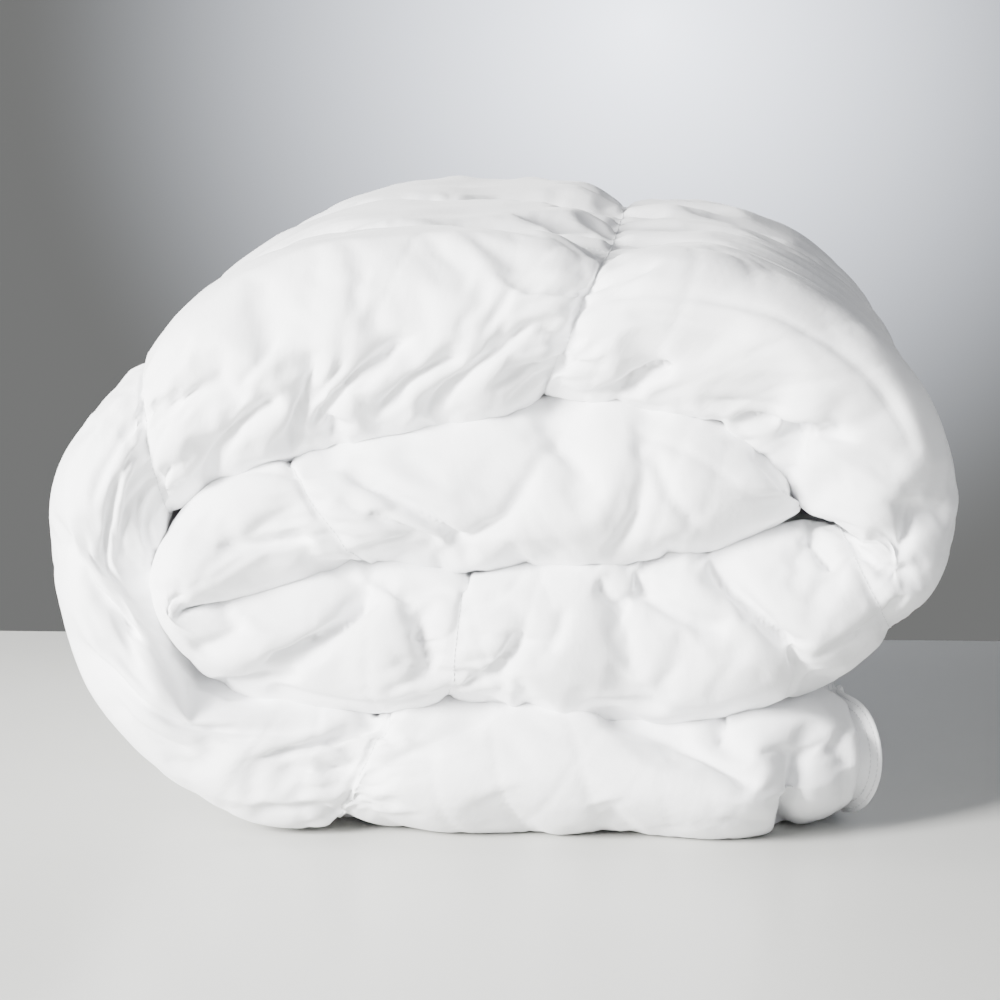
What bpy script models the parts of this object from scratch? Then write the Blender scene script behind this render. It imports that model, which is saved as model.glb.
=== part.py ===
"""A single duvet of down, folded once along its length and rolled up.

Every piece is first laid out flat, as the duvet is sewn: U runs along its length from the outer end
(the tail, under the roll) to the inner end (the core), W across its width from the fold, and H up
from its mid-surface towards the face cloth. The piece is then folded along W = 0 and rolled up.

The roll lies along Y with the fold at -Y, X to the right, Z up, and rests on Z = 0.
"""

import bisect
import math

import bmesh
import bpy
from mathutils import Vector

# Driving dimensions, in metres.
LENGTH = 2.00  # the flat duvet, over its hems
WIDTH = 1.35
ROWS = 7  # boxes of down along the length
COLUMNS = 5  # boxes of down across the width
STRIP = 0.094  # thickness of the folded duvet in the roll
WRAP_GAP = 0.0022  # air between one wrap and the next
LEAF_GAP = 0.0016  # air between the two leaves of the folded duvet
HALF_SPAN = 0.2895  # half of the roll's width
TAIL_END_X = 0.236  # where the outer end comes out from under the roll
CLOTH = 0.0008  # face and back cloth
CLEARANCE = 0.0005  # between pieces that touch
BAFFLE = 0.001  # tapes that part one box from the next
HEM_REACH = 0.012  # the flat sewn edge
HEM_THICK = 0.003
HEM_WALL = 0.002  # the turned-in cloth behind the flat edge
LABEL_WIDTH = 0.040
LABEL_REACH = 0.022
LABEL_PLACE = 0.20  # along the length, from the tail
TURN_STEP = math.radians(15.0)  # of the roll, from one flat facet to the next
FOLD_STEPS = 6  # facets round the lengthwise fold

LEVEL = STRIP + WRAP_GAP  # from one layer of the roll to the next
HALF_LOFT = (STRIP - LEAF_GAP) / 4  # half of one leaf's thickness
FOLD_RADIUS = LEAF_GAP / 2 + HALF_LOFT  # of a leaf's mid-surface round the fold
FOLD_REACH = FOLD_RADIUS * math.pi / 2  # the width that each leaf gives to the fold
DEPTH = STRIP / 2 + WIDTH / 2 - FOLD_REACH + CLEARANCE + LABEL_REACH  # fold to label's edge
HEM_DEPTH = HEM_REACH + HEM_WALL + CLEARANCE
FILL_HEIGHT = HALF_LOFT - CLOTH - CLEARANCE

COTTON = (0.93, 0.93, 0.94, 1.0)
DOWN = (0.96, 0.95, 0.92, 1.0)
TAPE = (0.88, 0.88, 0.87, 1.0)
LABEL = (0.95, 0.95, 0.95, 1.0)


def material(name, colour, roughness):
    """A plain matt finish."""
    made = bpy.data.materials.new(name)
    made.use_nodes = True
    shader = made.node_tree.nodes["Principled BSDF"]
    shader.inputs["Base Color"].default_value = colour
    shader.inputs["Roughness"].default_value = roughness
    shader.inputs["Metallic"].default_value = 0.0
    return made


def roll_stations():
    """The strip's path as (distance, point on the mid-line, direction outwards), tail to core.

    It runs left along the floor, up and over on the left, back to the right, down and under on the
    right, left again, round the core's own turn, and ends to the right inside the roll.
    """
    big, middle, small = 1.5 * LEVEL, LEVEL, 0.5 * LEVEL
    left = -HALF_SPAN + big + STRIP / 2
    right = HALF_SPAN - middle - STRIP / 2
    across = right - left
    used = TAIL_END_X - left + 2 * across + math.pi * (big + middle + small)
    runs = (
        (TAIL_END_X - left, big),
        (across, middle),
        (across, small),
        (LENGTH - used, None),
    )
    place = Vector((TAIL_END_X, STRIP / 2))
    heading = Vector((-1.0, 0.0))
    travelled = 0.0
    stations = [(0.0, place.copy(), Vector((-heading.y, heading.x)))]
    for straight, radius in runs:
        outwards = Vector((-heading.y, heading.x))
        place = place + heading * straight
        travelled += straight
        stations.append((travelled, place.copy(), outwards))
        if radius is None:
            break
        centre = place - outwards * radius
        steps = round(math.pi / TURN_STEP)
        for step in range(1, steps + 1):
            turned = math.pi * step / steps
            direction = Vector(
                (
                    outwards.x * math.cos(turned) + outwards.y * math.sin(turned),
                    outwards.y * math.cos(turned) - outwards.x * math.sin(turned),
                )
            )
            stations.append((travelled + radius * turned, centre + direction * radius, direction))
        travelled += radius * math.pi
        place = centre - outwards * radius
        heading = -heading
    return stations


ROLL = roll_stations()
ROLL_AT = [distance for distance, _, _ in ROLL]
FOLD_AT = [FOLD_REACH * (2 * step / FOLD_STEPS - 1) for step in range(FOLD_STEPS + 1)]


def rolled(u, outwards):
    """The place in X and Z of a point that far along the strip and out from its mid-line."""
    i = min(max(bisect.bisect_right(ROLL_AT, u) - 1, 0), len(ROLL) - 2)
    share = (u - ROLL_AT[i]) / (ROLL_AT[i + 1] - ROLL_AT[i])
    before = ROLL[i][1] + ROLL[i][2] * outwards
    after = ROLL[i + 1][1] + ROLL[i + 1][2] * outwards
    return before.lerp(after, share)


def folded_at(w, h):
    """The depth and the distance out from the strip's mid-line of a point of the flat duvet."""
    angle = max(-1.0, min(1.0, w / FOLD_REACH)) * math.pi / 2
    radius = FOLD_RADIUS + h
    depth = STRIP / 2 - radius * math.cos(angle) + max(0.0, abs(w) - FOLD_REACH)
    return Vector((depth, radius * math.sin(angle)))


def folded(w, h):
    """As folded_at, but straight from one step of the fold to the next."""
    if abs(w) >= FOLD_REACH:
        return folded_at(w, h)
    i = min(bisect.bisect_right(FOLD_AT, w) - 1, FOLD_STEPS - 1)
    share = (w - FOLD_AT[i]) / (FOLD_AT[i + 1] - FOLD_AT[i])
    return folded_at(FOLD_AT[i], h).lerp(folded_at(FOLD_AT[i + 1], h), share)


def place(u, w, h):
    """Where a point of the flat duvet lies in the roll."""
    depth, outwards = folded(w, h)
    x, z = rolled(u, outwards)
    return Vector((x, depth - DEPTH / 2, z))


def cut(mesh, axis, stations):
    """Cuts the flat piece across at each station, so that it can bend there."""
    normal = Vector([1.0 if k == axis else 0.0 for k in range(3)])
    low = min(vertex.co[axis] for vertex in mesh.verts)
    high = max(vertex.co[axis] for vertex in mesh.verts)
    for station in stations:
        if low + 1e-5 < station < high - 1e-5:
            everything = mesh.verts[:] + mesh.edges[:] + mesh.faces[:]
            bmesh.ops.bisect_plane(
                mesh, geom=everything, dist=1e-6, plane_co=normal * station, plane_no=normal
            )


def finish(name, mesh, finish_material):
    """Folds and rolls a flat piece, and makes it an object."""
    cut(mesh, 0, ROLL_AT)
    cut(mesh, 1, FOLD_AT)
    for vertex in mesh.verts:
        vertex.co = place(*vertex.co)
    bmesh.ops.recalc_face_normals(mesh, faces=mesh.faces)
    if mesh.calc_volume(signed=True) < 0:
        bmesh.ops.reverse_faces(mesh, faces=mesh.faces)
    data = bpy.data.meshes.new(name)
    mesh.to_mesh(data)
    mesh.free()
    data.materials.append(finish_material)
    made = bpy.data.objects.new(name, data)
    DUVET.objects.link(made)
    return made


def block(low, high):
    """A closed box between two corners, in flat coordinates."""
    mesh = bmesh.new()
    bmesh.ops.create_cube(mesh, size=1.0)
    low, high = Vector(low), Vector(high)
    bmesh.ops.scale(mesh, vec=high - low, verts=mesh.verts)
    bmesh.ops.translate(mesh, vec=(low + high) / 2, verts=mesh.verts)
    return mesh


def panel(name, low_h, high_h, finish_material):
    """The face cloth or the back cloth, inside the hems."""
    u, w = HEM_DEPTH, WIDTH / 2 - HEM_DEPTH
    return finish(name, block((u, -w, low_h), (LENGTH - u, w, high_h)), finish_material)


def box_edges(start, end, count):
    """Where each of a row of boxes starts and ends, with room for a baffle between two."""
    room = BAFFLE + 2 * CLEARANCE
    pitch = (end - start + room) / count
    return [(start + i * pitch, start + (i + 1) * pitch - room) for i in range(count)]


def between(edges):
    """The middle of each gap between two boxes."""
    return [(edges[i][1] + edges[i + 1][0]) / 2 for i in range(len(edges) - 1)]


def fill(finish_material):
    """The down in each box: a flat pad that nearly fills it."""
    for r, (u_low, u_high) in enumerate(ROW_EDGES, 1):
        for c, (w_low, w_high) in enumerate(COLUMN_EDGES, 1):
            mesh = block((u_low, w_low, -FILL_HEIGHT), (u_high, w_high, FILL_HEIGHT))
            finish(f"down_row{r}_box{c}", mesh, finish_material)


def comb(start, end, slots, side):
    """The outline of a baffle tape, slotted to its middle on one side where it crosses the others."""
    half_slot = BAFFLE / 2 + CLEARANCE
    plain, slotted = -side * FILL_HEIGHT, side * FILL_HEIGHT
    floor = -side * CLEARANCE / 2
    outline = [(start, plain), (end, plain), (end, slotted)]
    for slot in reversed(slots):
        outline.append((slot + half_slot, slotted))
        outline.append((slot + half_slot, floor))
        outline.append((slot - half_slot, floor))
        outline.append((slot - half_slot, slotted))
    outline.append((start, slotted))
    return outline


def tape(outline):
    """A flat outline given the tape's thickness, as a mesh in X and Y."""
    curve = bpy.data.curves.new("tape", "CURVE")
    curve.dimensions = "2D"
    curve.fill_mode = "BOTH"
    curve.extrude = BAFFLE / 2
    spline = curve.splines.new("POLY")
    spline.points.add(len(outline) - 1)
    for point, (along, up) in zip(spline.points, outline):
        point.co = (along, up, 0.0, 1.0)
    spline.use_cyclic_u = True
    drawn = bpy.data.objects.new("tape", curve)
    bpy.context.scene.collection.objects.link(drawn)
    graph = bpy.context.evaluated_depsgraph_get()
    data = bpy.data.meshes.new_from_object(drawn.evaluated_get(graph))
    mesh = bmesh.new()
    mesh.from_mesh(data)
    bmesh.ops.remove_doubles(mesh, verts=mesh.verts, dist=1e-5)
    bpy.data.objects.remove(drawn)
    bpy.data.curves.remove(curve)
    bpy.data.meshes.remove(data)
    return mesh


def baffles(finish_material):
    """Tapes along and across the duvet, slotted into each other like an egg crate."""
    u_ends = (ROW_EDGES[0][0], ROW_EDGES[-1][1])
    w_ends = (COLUMN_EDGES[0][0], COLUMN_EDGES[-1][1])
    for k, w in enumerate(between(COLUMN_EDGES), 1):
        mesh = tape(comb(*u_ends, between(ROW_EDGES), 1))
        for vertex in mesh.verts:
            along, up, thick = vertex.co
            vertex.co = (along, w + thick, up)
        finish(f"long_baffle_{k}", mesh, finish_material)
    for k, u in enumerate(between(ROW_EDGES), 1):
        mesh = tape(comb(*w_ends, between(COLUMN_EDGES), -1))
        for vertex in mesh.verts:
            along, up, thick = vertex.co
            vertex.co = (u + thick, along, up)
        finish(f"cross_baffle_{k}", mesh, finish_material)


def hem(name, wall_low, wall_high, axis, outwards, finish_material):
    """A turned-in wall that closes one edge, with the flat sewn edge standing out from it."""
    mesh = block(wall_low, wall_high)
    cut(mesh, 2, (-HEM_THICK / 2, HEM_THICK / 2))
    edge = [
        face
        for face in mesh.faces
        if face.normal[axis] * outwards > 0.5 and abs(face.calc_center_median().z) < HEM_THICK / 2
    ]
    grown = bmesh.ops.extrude_face_region(mesh, geom=edge)["geom"]
    bmesh.ops.delete(mesh, geom=edge, context="FACES_ONLY")
    reach = [0.0, 0.0, 0.0]
    reach[axis] = outwards * HEM_REACH
    corners = [item for item in grown if isinstance(item, bmesh.types.BMVert)]
    bmesh.ops.translate(mesh, vec=reach, verts=corners)
    finish(name, mesh, finish_material)


def hems(finish_material):
    """The sewn edges of all four sides: the ends run right across, the sides fit between them."""
    half = WIDTH / 2 - HEM_REACH
    top = HALF_LOFT
    for name, outer, outwards in (("tail_hem", HEM_REACH, -1), ("core_hem", LENGTH - HEM_REACH, 1)):
        inner = outer - outwards * HEM_WALL
        low, high = min(outer, inner), max(outer, inner)
        hem(name, (low, -half, -top), (high, half, top), 0, outwards, finish_material)
    start = HEM_DEPTH
    for name, side in (("side_hem_outer", 1), ("side_hem_inner", -1)):
        outer, inner = side * half, side * (half - HEM_WALL)
        low, high = min(outer, inner), max(outer, inner)
        hem(name, (start, low, -top), (LENGTH - start, high, top), 1, side, finish_material)


def care_label(finish_material):
    """A small blank label that stands out past the outer side hem."""
    w = WIDTH / 2 + CLEARANCE
    half = CLOTH / 2
    low = (LABEL_PLACE, w, -half)
    high = (LABEL_PLACE + LABEL_WIDTH, w + LABEL_REACH, half)
    finish("care_label", block(low, high), finish_material)


for old in list(bpy.data.objects):
    bpy.data.objects.remove(old)
DUVET = bpy.data.collections.new("rolled_duvet")
bpy.context.scene.collection.children.link(DUVET)

ROW_EDGES = box_edges(HEM_DEPTH, LENGTH - HEM_DEPTH, ROWS)
COLUMN_EDGES = box_edges(HEM_DEPTH - WIDTH / 2, WIDTH / 2 - HEM_DEPTH, COLUMNS)

cotton = material("cotton", COTTON, 0.7)
tape_cloth = material("baffle_tape", TAPE, 0.8)
panel("face_cloth", HALF_LOFT - CLOTH, HALF_LOFT, cotton)
panel("back_cloth", -HALF_LOFT, CLOTH - HALF_LOFT, cotton)
fill(material("down", DOWN, 0.9))
baffles(tape_cloth)
hems(cotton)
care_label(material("label", LABEL, 0.6))
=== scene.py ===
import math
import random

import bmesh
import bpy
import numpy as np
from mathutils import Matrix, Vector, noise


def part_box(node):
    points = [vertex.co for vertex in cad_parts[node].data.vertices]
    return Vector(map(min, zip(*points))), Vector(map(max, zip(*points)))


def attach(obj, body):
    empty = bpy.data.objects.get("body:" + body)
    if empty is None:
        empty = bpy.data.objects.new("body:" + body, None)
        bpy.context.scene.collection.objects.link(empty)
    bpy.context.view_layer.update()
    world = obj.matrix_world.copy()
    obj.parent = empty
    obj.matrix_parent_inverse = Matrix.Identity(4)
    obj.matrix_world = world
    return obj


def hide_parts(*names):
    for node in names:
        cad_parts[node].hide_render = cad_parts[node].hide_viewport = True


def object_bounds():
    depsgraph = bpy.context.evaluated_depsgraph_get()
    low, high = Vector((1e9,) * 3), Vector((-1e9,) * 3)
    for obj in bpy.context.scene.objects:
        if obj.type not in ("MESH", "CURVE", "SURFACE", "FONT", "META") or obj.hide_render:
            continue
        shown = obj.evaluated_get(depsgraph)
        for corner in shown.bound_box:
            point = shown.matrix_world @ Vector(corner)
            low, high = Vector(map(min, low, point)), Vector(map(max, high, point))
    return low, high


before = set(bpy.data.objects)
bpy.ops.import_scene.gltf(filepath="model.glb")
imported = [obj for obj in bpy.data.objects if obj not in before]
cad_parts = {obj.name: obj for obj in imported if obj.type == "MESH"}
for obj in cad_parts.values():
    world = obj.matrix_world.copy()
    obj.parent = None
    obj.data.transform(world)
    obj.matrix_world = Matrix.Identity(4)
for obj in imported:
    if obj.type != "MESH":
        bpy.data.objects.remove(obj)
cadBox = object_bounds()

# The duvet is modelled as it is sewn: u runs along it from the tail to the core, w across it from
# the lengthwise fold. Each point of that flat pattern then has a place in the roll.

frontY = cadBox[0].y  # the foremost point of the fold
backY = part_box("side_hem_outer")[1].y  # the edge of the side hems

pattern = {
    "length": 2.0,
    "width": 1.35,
    "rows": 7,
    "columns": 5,
    "hemReach": 0.014,  # flat sewn edge
    "hemThick": 0.0032,
    "leafGap": 0.003,  # between the two leaves of the folded duvet
    "foldDepth": 0.054,  # how far the lengthwise fold bulges forwards
    "foldPower": 2.08,  # 2 is a round fold, more is a fuller one
    "leaf": 0.046,  # thickness of one leaf of the folded duvet
}

rowLength = pattern["length"] / pattern["rows"]
columnWidth = pattern["width"] / pattern["columns"]
halfWidth = pattern["width"] / 2
foldReach = math.pi / 2 * pattern["leaf"] / 2  # the width that each leaf gives to the fold


def hermite(knots, values, where):
    # a smooth curve through a few points, with each slope taken from the two neighbours
    knots, values = np.asarray(knots, float), np.asarray(values, float)
    slopes = np.gradient(values, knots, axis=0)
    i = np.clip(np.searchsorted(knots, where, side="right") - 1, 0, len(knots) - 2)
    span = (knots[i + 1] - knots[i])[:, None]
    t = (where - knots[i])[:, None] / span
    a = (1 + 2 * t) * (1 - t) ** 2
    b = t * (1 - t) ** 2
    c = t**2 * (3 - 2 * t)
    d = t**2 * (t - 1)
    return a * values[i] + b * span * slopes[i] + c * values[i + 1] + d * span * slopes[i + 1]


def softened(values, knots, reach):
    # values averaged along the strip
    weight = np.exp(-(((knots[:, None] - knots[None, :]) / reach) ** 2))
    weight /= weight.sum(axis=1, keepdims=True)
    return weight @ values


def travel(points):
    # how far along a line each of its points is
    return np.concatenate([[0], np.cumsum(np.linalg.norm(np.diff(points, axis=0), axis=1))])


def ease(x):
    x = np.clip(x, 0.0, 1.0)
    return x * x * (3 - 2 * x)


def bulge(distance, reach):
    # 0 on a seam, rising as a stuffed box does to 1 at reach from it
    t = np.clip(1 - distance / reach, 0.0, 1.0)
    return np.sqrt(1 - t * t)


def lines(*runs):
    # grid lines: a start, then the end and the number of steps of each run
    found = [runs[0]]
    for end, steps in runs[1:]:
        found += list(np.linspace(found[-1], end, steps + 1)[1:])
    return np.array(found)


# The grid of the cover, closer together where it shows.
grid = {
    "rowSteps": 60,
    "hiddenSteps": 5,
    "innerSteps": 12,
    "foldSteps": 32,
    "frontSteps": 20,
    "topSteps": 27,
    "backSteps": 18,
    "edge": 0.045,  # the last stretch before a side hem, where the boxes round off
    "edgeSteps": 7,
    "backColumns": 19,  # of the back cloth, before those near the side hems
}
coverEnd = halfWidth - pattern["hemReach"]
seamW = columnWidth / 2
acrossLines = lines(
    -coverEnd,
    (-coverEnd + grid["edge"] / 4, grid["edgeSteps"] // 2),
    (-coverEnd + grid["edge"], grid["edgeSteps"] // 2),
    (-seamW - columnWidth, grid["hiddenSteps"]),
    (-seamW, grid["hiddenSteps"]),
    (-foldReach, grid["innerSteps"]),
    (foldReach, grid["foldSteps"]),
    (seamW, grid["frontSteps"]),
    (seamW + columnWidth, grid["topSteps"]),
    (coverEnd - grid["edge"], grid["backSteps"]),
    (coverEnd - grid["edge"] / 4, grid["edgeSteps"]),
    (coverEnd, grid["edgeSteps"] // 2),
)
alongLines = np.linspace(0, pattern["length"], grid["rowSteps"] * pattern["rows"] + 1)
alongLines[0] = pattern["hemReach"]
alongLines[-1] = pattern["length"] - pattern["hemReach"]

# The roll seen from the front. Its outer edge is a chain of round turns, from the tail on the floor
# to the tip of the core. Its inner edge lies on the turn inside it. Angles are in degrees, 90 is up.
roll = {
    "halfSpan": cadBox[1].x - 0.009,  # the boxes swell out to the full size
    "top": cadBox[1].z - 0.010,
    "middle": 0.20,  # height of the widest place
    "floor": 0.002,
    "underside": 0.085,  # where the second layer lies on the first
    "heart": 0.172,  # where the core lies on the second layer
    "tailTip": 0.252,
    "rearRise": 0.012,  # how much higher the top left is behind the fold
    "crown": 0.03,  # how far right of the middle the two top turns meet
    "leftShoulder": 2.1,  # how full the top left is, where 2 is round
    "rightShoulder": 2.4,
    "leftTurn": 0.10,  # how far left of the middle the big turn has its centre
    "rightTurn": 0.12,
    "innerTurn": (-0.10, 0.165),  # centre of the turn round the core
    "innerWide": 0.118,
    "innerRoom": (0.003, 0.001),  # spare height of its outer and inner edge
    "coreTip": (0.07, 0.135, 0.072),  # X of its centre, then half its width and height
    "roundTip": (0.06, 0.138, 0.077),  # the same for the layer round it
    "rightCrease": (0.236, 0.200),  # where the inner edge turns back on itself
    "leftCrease": (-0.195, 0.146),
    "outerRows": (0.345, 0.395, 0.296, 0.370, 0.282, 0.338, 0.345),  # of the edge, for each row
    "innerRows": (0.330, 0.235, 0.262, 0.262, 0.246, 0.306, 0.300),
    "cornerRound": 0.012,  # over how much of the strip its edges are rounded
}


def turn(centreX, centreZ, wide, high, start, end, fullness=2.0):
    # part of an ellipse; a fullness over 2 squares its shoulders
    angle = np.radians(np.linspace(start, end, 40))
    x, z = np.cos(angle), np.sin(angle)
    x = np.sign(x) * np.abs(x) ** (2 / fullness)
    z = np.sign(z) * np.abs(z) ** (2 / fullness)
    return np.stack([centreX + wide * x, centreZ + high * z], axis=1)


def edgeAt(parts, rowLengths, where):
    # a smooth edge through the parts, with each row of boxes given its own share of it
    points = np.concatenate([np.atleast_2d(part) for part in parts])
    travelled = travel(points)
    marks = np.concatenate([[0], np.cumsum(rowLengths)])
    marks *= travelled[-1] / marks[-1]
    seamsAt = np.linspace(0, pattern["length"], pattern["rows"] + 1)
    spots = hermite(seamsAt, marks[:, None], where)[:, 0]
    x, z = (np.interp(spots, travelled, points[:, k]) for k in (0, 1))
    return softened(np.stack([x, z], axis=1), where, roll["cornerRound"])


span, middle, under = roll["halfSpan"], roll["middle"], roll["underside"]
high, heart, tailTip = roll["top"] - middle, roll["heart"], roll["tailTip"]
crown, leftTurn, rightTurn = roll["crown"], roll["leftTurn"], roll["rightTurn"]
turnX, turnZ = roll["innerTurn"]
outerRoom, innerRoom = roll["innerRoom"]
tipX, tipWide, tipHigh = roll["coreTip"]
roundX, roundWide, roundHigh = roll["roundTip"]
outer = edgeAt(
    [
        (tailTip, roll["floor"]),
        turn(-leftTurn, middle, span - leftTurn, middle - roll["floor"], 270, 180),
        turn(0, middle, span, high, 180, 90, roll["leftShoulder"]),
        turn(crown, middle, span - crown, high, 90, 0, roll["rightShoulder"]),
        turn(rightTurn, middle, span - rightTurn, middle - under, 0, -90),
        turn(turnX, turnZ, roll["innerWide"], turnZ - under + outerRoom, 270, 90),
        turn(tipX, middle, tipWide, tipHigh, 120, 10),
    ],
    roll["outerRows"],
    alongLines,
)
inner = edgeAt(
    [
        [(tailTip + 0.004, 0.082), (-0.02, under - 0.002)],
        turn(turnX, turnZ, roll["innerWide"], turnZ - under + innerRoom, 265, 100),
        turn(roundX, middle, roundWide, roundHigh, 118, 15),
        roll["rightCrease"],
        [(0.20, 0.203), (0.13, 0.184), (0.03, heart), (-0.08, heart + 0.002)],
        roll["leftCrease"],
        [(-0.10, heart), (0.03, heart), (0.12, 0.182), (0.203, 0.206)],
    ],
    roll["innerRows"],
    alongLines,
)
frontMiddle, frontHalf = (outer + inner) / 2, (outer - inner) / 2
halfThick = np.linalg.norm(frontHalf, axis=1)
edgeTravel = travel(frontMiddle)

# Behind the fold both edges are smoother, and the top left stands higher.
deepRound = 0.06
deepOuter = softened(outer, alongLines, deepRound)
deepInner = softened(inner, alongLines, deepRound)
upHigh = ease((deepOuter[:, 1] - 0.24) / 0.08) * ease((-deepOuter[:, 0] - 0.02) / 0.1)
deepOuter[:, 1] += roll["rearRise"] * upHigh
deepMiddle, deepHalf = (deepOuter + deepInner) / 2, (deepOuter - deepInner) / 2

# How far each seam across the duvet draws the cloth in, at the fold and behind it.
seams = {
    "foldPinches": (0.0, 0.20, 0.40, 0.42, 0.12, 0.16, 0.18, 0.0),  # tail, each cross seam, core
    "foldHolds": (1.0, 0.4, 0.7, 0.4, 0.5, 0.2, 0.5, 1.0),  # how firmly each is held there
    "slack": 0.965,  # room between one layer and the next
    "thinning": 0.45,  # how much of the pinch thins the strip as well
    "deepPinch": 0.07,
    "hemPinch": 0.34,  # next to a side hem
    "hemPinchFrom": 0.13,
    "alongPinch": 0.10,  # the seams that run along the duvet
    "foldReach": 0.042,
    "deepReach": 0.06,
    "tailReach": 0.028,  # how fast the boxes fill out from a hem
    "coreReach": 0.045,
    "sideReach": 0.042,
    "tailSetback": 0.045,  # how far the ends of the strip lie back from the fold
    "coreSetback": 0.022,
    "setbackAlong": 0.10,  # from an end
    "setbackBehind": 0.25,  # behind the fold
    "tailSpread": 0.09,  # the tail's hem lies out towards the outside of the fold
    "spreadAlong": 0.06,
    "spreadAcross": 0.20,
    "deepFrom": 0.02,  # where the smoother edges behind the fold begin, and over what depth
    "deepOver": 0.14,
}


def seamDistance(u):
    away = np.abs(u / rowLength - np.round(u / rowLength)) * rowLength
    inside = (u > rowLength / 2) & (u < pattern["length"] - rowLength / 2)
    return np.where(inside, away, 1.0)


def columnDistance(w):
    places = [-seamW - columnWidth, -seamW, seamW, seamW + columnWidth]
    return np.min([np.abs(w - place) for place in places], axis=0)


def loft(u, w):
    # 1 where a box is full, less by its seams, and 0 at the hems
    atFold = 1 - ease((np.abs(w) - foldReach) / (seamW - foldReach))
    foldPinch = np.array(seams["foldPinches"])[np.round(u / rowLength).astype(int)]
    pinch = seams["deepPinch"] + (foldPinch - seams["deepPinch"]) * atFold
    byHem = ease((np.abs(w) - coverEnd + seams["hemPinchFrom"]) / seams["hemPinchFrom"])
    pinch = pinch + (seams["hemPinch"] - seams["deepPinch"]) * byHem
    reach = seams["deepReach"] + (seams["foldReach"] - seams["deepReach"]) * atFold
    across = 1 - pinch * (1 - bulge(seamDistance(u), reach))
    along = 1 - seams["alongPinch"] * (1 - bulge(columnDistance(w), seams["deepReach"]))
    ends = bulge(u - alongLines[0], seams["tailReach"]) * bulge(alongLines[-1] - u, seams["coreReach"])
    hem = ends * bulge(coverEnd - np.abs(w), seams["sideReach"])
    return across * along, hem


def placeAt(i, w, side):
    # the place in the roll of points on grid line i: side 1 is the face cloth, -1 the back cloth
    u = alongLines[i]
    full, hem = loft(u, w)
    half = np.linalg.norm(frontHalf[i], axis=-1)
    gap = pattern["leafGap"] / 2 / half
    edge = pattern["hemThick"] / 4 / half
    nearTail = seams["tailSpread"] * (1 - ease(u / seams["spreadAlong"]))
    core = 0.5 + nearTail * (1 - ease(np.abs(w) / seams["spreadAcross"]))
    if side > 0:
        radius = core + edge + (full - core - edge) * hem
    else:
        radius = core - edge - (core - edge - gap) * hem
    drawn = 1 - seams["thinning"] * (1 - full) * hem
    thinned = seams["slack"] * radius * drawn / (1 - (1 - full) * hem)
    angle = np.clip(w / foldReach, -1, 1) * math.pi / 2
    power = 2 / pattern["foldPower"]
    out = np.sign(angle) * np.abs(np.sin(angle)) ** power * thinned
    ahead = np.maximum(np.cos(angle), 0) ** power * radius
    behind = np.maximum(np.abs(w) - foldReach, 0)
    setback = seams["tailSetback"] * (1 - ease(u / seams["setbackAlong"]))
    toCore = (pattern["length"] - u) / seams["setbackAlong"]
    setback = setback + seams["coreSetback"] * (1 - ease(toCore))
    back = setback * (1 - ease(behind / seams["setbackBehind"]))
    depth = pattern["foldDepth"] * (1 - ahead) + behind + back
    deep = ease((depth - seams["deepFrom"]) / seams["deepOver"])[..., None]
    centre = frontMiddle[i] * (1 - deep) + deepMiddle[i] * deep
    reach = frontHalf[i] * (1 - deep) + deepHalf[i] * deep
    flat = centre + reach * out[..., None]
    return np.stack([flat[..., 0], frontY + depth, flat[..., 1]], axis=-1)


backShift = 3.0  # the back cloth lies beside the face cloth in the UV map


def turnOutwards(mesh):
    check = bmesh.new()
    check.from_mesh(mesh)
    bmesh.ops.recalc_face_normals(check, faces=check.faces)
    if check.calc_volume(signed=True) < 0:
        bmesh.ops.reverse_faces(check, faces=check.faces)
    check.to_mesh(mesh)
    check.free()


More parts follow.
